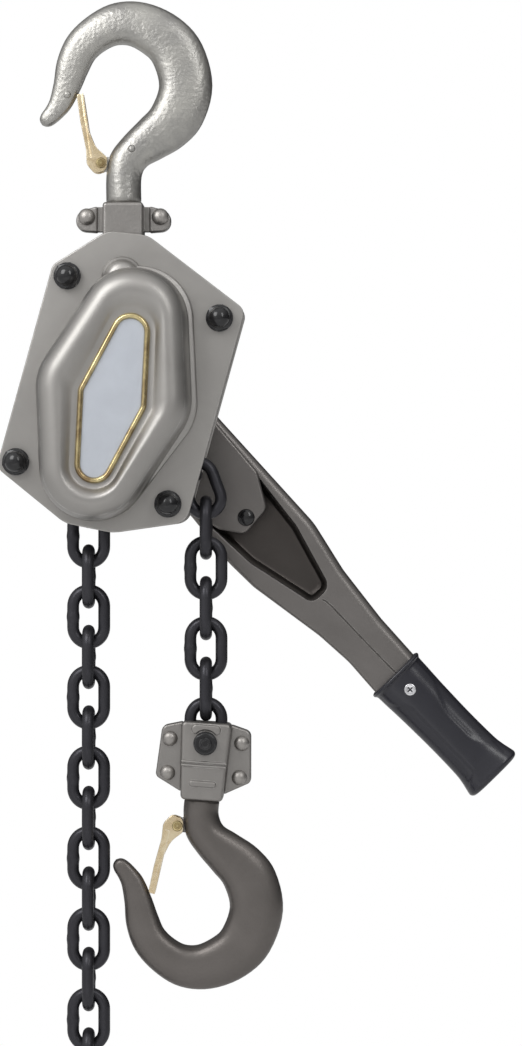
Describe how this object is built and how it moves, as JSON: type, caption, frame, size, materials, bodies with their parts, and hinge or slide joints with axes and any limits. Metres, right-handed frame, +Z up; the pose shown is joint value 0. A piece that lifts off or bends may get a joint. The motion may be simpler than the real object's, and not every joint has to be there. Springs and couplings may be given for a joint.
{
  "type": "lever chain hoist",
  "caption": "Lever chain hoist: swivel hooks with latches, twin-plate frame with gear train and brake, ratchet lever with grip, load chain over a pocket sheave and a lower yoke.",
  "frame": {"origin": "the saddle of the top hook, where the hoist hangs", "axes": "+Z up along the hanging line, -Y towards the gear cover's side, +X to the right of that side, where the lever points"},
  "size_m": [0.3899, 0.165, 0.9057],
  "materials": {
    "frame_paint": "satin metallic warm grey paint",
    "lever_paint": "satin metallic grey-brown paint",
    "hook_top_forging": "forged steel, light satin paint over a pebbled skin",
    "hook_bottom_forging": "forged steel, smooth warm grey paint",
    "yoke_forging": "forged steel, satin grey paint",
    "rivet_steel": "round-headed steel rivets, painted over",
    "chain_steel": "black phosphated alloy steel",
    "black_oxide": "glossy black oxide",
    "zinc_yellow": "yellow zinc plate",
    "spring_steel": "bright spring wire",
    "plaque_aluminium": "brushed aluminium, bare",
    "bright_steel": "machined steel",
    "brake_lining": "resin-bonded friction lining",
    "grip_rubber": "glossy navy-black moulded grip",
    "screw_chrome": "bright plated screw"
  },
  "bodies": {
    "upper_hook": {"top_hook": "hook_top_forging", "top_latch_pin": "zinc_yellow"},
    "upper_latch": {"top_latch": "zinc_yellow", "top_latch_spring": "spring_steel"},
    "upper_yoke": {"top_yoke_front": "yoke_forging", "top_yoke_rear": "yoke_forging", "top_yoke_rivets": "rivet_steel"},
    "frame": {"side_plate_gear_side": "frame_paint", "side_plate_lever_side": "frame_paint", "stay_bolts": "bright_steel", "domed_nuts": "black_oxide", "chain_guides": "bright_steel", "sheave_bearings": "bright_steel", "gear_bearing_plate": "bright_steel", "gear_cover": "frame_paint", "plaque_bead": "zinc_yellow", "plaque": "plaque_aluminium", "brake_pawl_pins": "bright_steel", "brake_cover": "frame_paint", "top_pin": "bright_steel"},
    "guide_roller": {"chain_guide_roller": "bright_steel"},
    "lever": {"lever_front_plate": "lever_paint", "lever_shell": "lever_paint", "lever_bolts": "black_oxide", "lever_grip": "grip_rubber", "grip_screw": "screw_chrome"},
    "selector": {"selector_pawl": "bright_steel", "selector_knob": "lever_paint"},
    "drive": {"drive_shaft": "bright_steel", "change_gear": "bright_steel", "brake_linings": "brake_lining", "brake_ratchet_wheel": "bright_steel", "hand_wheel": "lever_paint", "shaft_nut": "black_oxide"},
    "counter_upper": {"intermediate_gear_upper": "bright_steel"},
    "counter_lower": {"intermediate_gear_lower": "bright_steel"},
    "sheave": {"load_sheave": "bright_steel", "load_gear": "bright_steel", "sheave_chain_links": "chain_steel"},
    "pawl_left": {"brake_pawl_left": "bright_steel"},
    "pawl_right": {"brake_pawl_right": "bright_steel"},
    "load_fall": {"load_chain_lead": "chain_steel", "load_chain_1": "chain_steel"},
    "load_fall_middle": {"load_chain_2": "chain_steel"},
    "load_fall_end": {"load_chain_3": "chain_steel"},
    "lower_block": {"bottom_yoke_front": "yoke_forging", "bottom_yoke_rear": "yoke_forging", "bottom_yoke_rivets": "rivet_steel", "chain_pin": "black_oxide", "chain_pin_nut": "black_oxide"},
    "lower_hook": {"bottom_hook": "hook_bottom_forging", "bottom_latch_pin": "zinc_yellow"},
    "lower_latch": {"bottom_latch": "zinc_yellow", "bottom_latch_spring": "spring_steel"},
    "slack_fall": {"slack_chain_lead": "chain_steel", "slack_chain_1": "chain_steel"},
    "slack_fall_upper": {"slack_chain_2": "chain_steel"},
    "slack_fall_lower": {"slack_chain_3": "chain_steel"},
    "slack_fall_end": {"slack_chain_4": "chain_steel"},
    "end_ring": {"chain_end_ring": "bright_steel"}
  },
  "joints": [
    {"name": "upper_latch_pivot", "type": "hinge", "parent": "upper_hook", "child": "upper_latch", "pos_m": [-0.0168, 0, -0.0895], "axis": [0, 1, 0], "range_deg": [0, 32], "stiffness_Nm_per_rad": 0.05, "springref_deg": -20.05},
    {"name": "upper_hook_swivel", "type": "hinge", "parent": "upper_hook", "child": "upper_yoke", "pos_m": [0, 0, -0.13], "axis": [0, 0, 1], "continuous": true},
    {"name": "frame_swing", "type": "hinge", "parent": "upper_yoke", "child": "frame", "pos_m": [0.00002, 0, -0.17642], "axis": [0, 1, 0], "range_deg": [-31, 0]},
    {"name": "guide_roller_spin", "type": "hinge", "parent": "frame", "child": "guide_roller", "pos_m": [0.03413, 0, -0.34569], "axis": [0, 1, 0], "continuous": true},
    {"name": "lever_swing", "type": "hinge", "parent": "frame", "child": "lever", "pos_m": [-0.006, 0, -0.264], "axis": [0, 1, 0], "range_deg": [-46, 46]},
    {"name": "selector_turn", "type": "hinge", "parent": "lever", "child": "selector", "pos_m": [0.03746, 0.072, -0.30822], "axis": [0, 1, 0], "range_deg": [-8, 8]},
    {"name": "drive_turn", "type": "hinge", "parent": "frame", "child": "drive", "pos_m": [-0.006, 0, -0.264], "axis": [0, 1, 0], "range_deg": [-47, 47]},
    {"name": "counter_upper_turn", "type": "hinge", "parent": "frame", "child": "counter_upper", "pos_m": [0.00522, 0, -0.22353], "axis": [0, 1, 0], "range_deg": [-20, 20]},
    {"name": "counter_lower_turn", "type": "hinge", "parent": "frame", "child": "counter_lower", "pos_m": [-0.01722, 0, -0.30447], "axis": [0, 1, 0], "range_deg": [-20, 20]},
    {"name": "sheave_turn", "type": "hinge", "parent": "frame", "child": "sheave", "pos_m": [-0.006, 0, -0.264], "axis": [0, 1, 0], "range_deg": [-8, 8]},
    {"name": "pawl_left_click", "type": "hinge", "parent": "frame", "child": "pawl_left", "pos_m": [-0.04466, 0, -0.23875], "axis": [0, 1, 0], "range_deg": [0, 8], "stiffness_Nm_per_rad": 0.02, "springref_deg": -17.19},
    {"name": "pawl_right_click", "type": "hinge", "parent": "frame", "child": "pawl_right", "pos_m": [0.03266, 0, -0.28925], "axis": [0, 1, 0], "range_deg": [0, 8], "stiffness_Nm_per_rad": 0.02, "springref_deg": -17.19},
    {"name": "load_hoist", "type": "slide", "parent": "frame", "child": "load_fall", "axis": [0, 0, 1], "range_m": [-0.00395, 0.00395]},
    {"name": "load_chain_sway_1", "type": "hinge", "parent": "load_fall", "child": "load_fall_middle", "pos_m": [0.0618, 0, -0.40296], "axis": [0, -1, 0], "range_deg": [0, 12]},
    {"name": "load_chain_sway_2", "type": "hinge", "parent": "load_fall_middle", "child": "load_fall_end", "pos_m": [0.0618, 0, -0.47526], "axis": [1, 0, 0], "range_deg": [-12, 12]},
    {"name": "block_swing", "type": "hinge", "parent": "load_fall_end", "child": "lower_block", "pos_m": [0.0618, 0, -0.52481], "axis": [0, -1, 0], "range_deg": [-0.5, 8]},
    {"name": "lower_hook_swivel", "type": "hinge", "parent": "lower_block", "child": "lower_hook", "pos_m": [0.05866, 0, -0.5697], "axis": [0.0698, 0, 0.9976], "range_deg": [-150, 150]},
    {"name": "lower_latch_pivot", "type": "hinge", "parent": "lower_hook", "child": "lower_latch", "pos_m": [0.04059, 0, -0.58728], "axis": [0, -1, 0], "range_deg": [0, 32], "stiffness_Nm_per_rad": 0.05, "springref_deg": -20.05},
    {"name": "slack_hoist", "type": "slide", "parent": "frame", "child": "slack_fall", "axis": [0, 0, 1], "range_m": [-0.00395, 0.00395]},
    {"name": "slack_chain_sway_1", "type": "hinge", "parent": "slack_fall", "child": "slack_fall_upper", "pos_m": [-0.0265, 0, -0.4817], "axis": [0, 1, 0], "range_deg": [0, 12]},
    {"name": "slack_chain_sway_2", "type": "hinge", "parent": "slack_fall_upper", "child": "slack_fall_lower", "pos_m": [-0.0265, 0, -0.5912], "axis": [1, 0, 0], "range_deg": [-12, 12]},
    {"name": "slack_chain_sway_3", "type": "hinge", "parent": "slack_fall_lower", "child": "slack_fall_end", "pos_m": [-0.0265, 0, -0.7241], "axis": [0, 1, 0], "range_deg": [0, 12]},
    {"name": "end_ring_sway", "type": "hinge", "parent": "slack_fall_end", "child": "end_ring", "pos_m": [-0.0265, 0, -0.83625], "axis": [1, 0, 0], "range_deg": [-40, 40]}
  ],
  "couplings": [
    {"joint": "drive_turn", "follows": "lever_swing", "ratio": 1},
    {"joint": "counter_upper_turn", "follows": "lever_swing", "ratio": -0.3125},
    {"joint": "counter_lower_turn", "follows": "lever_swing", "ratio": -0.3125},
    {"joint": "sheave_turn", "follows": "lever_swing", "ratio": 0.125},
    {"joint": "load_hoist", "follows": "lever_swing", "m_per_rad": -0.0048224},
    {"joint": "slack_hoist", "follows": "lever_swing", "m_per_rad": 0.0048224}
  ]
}
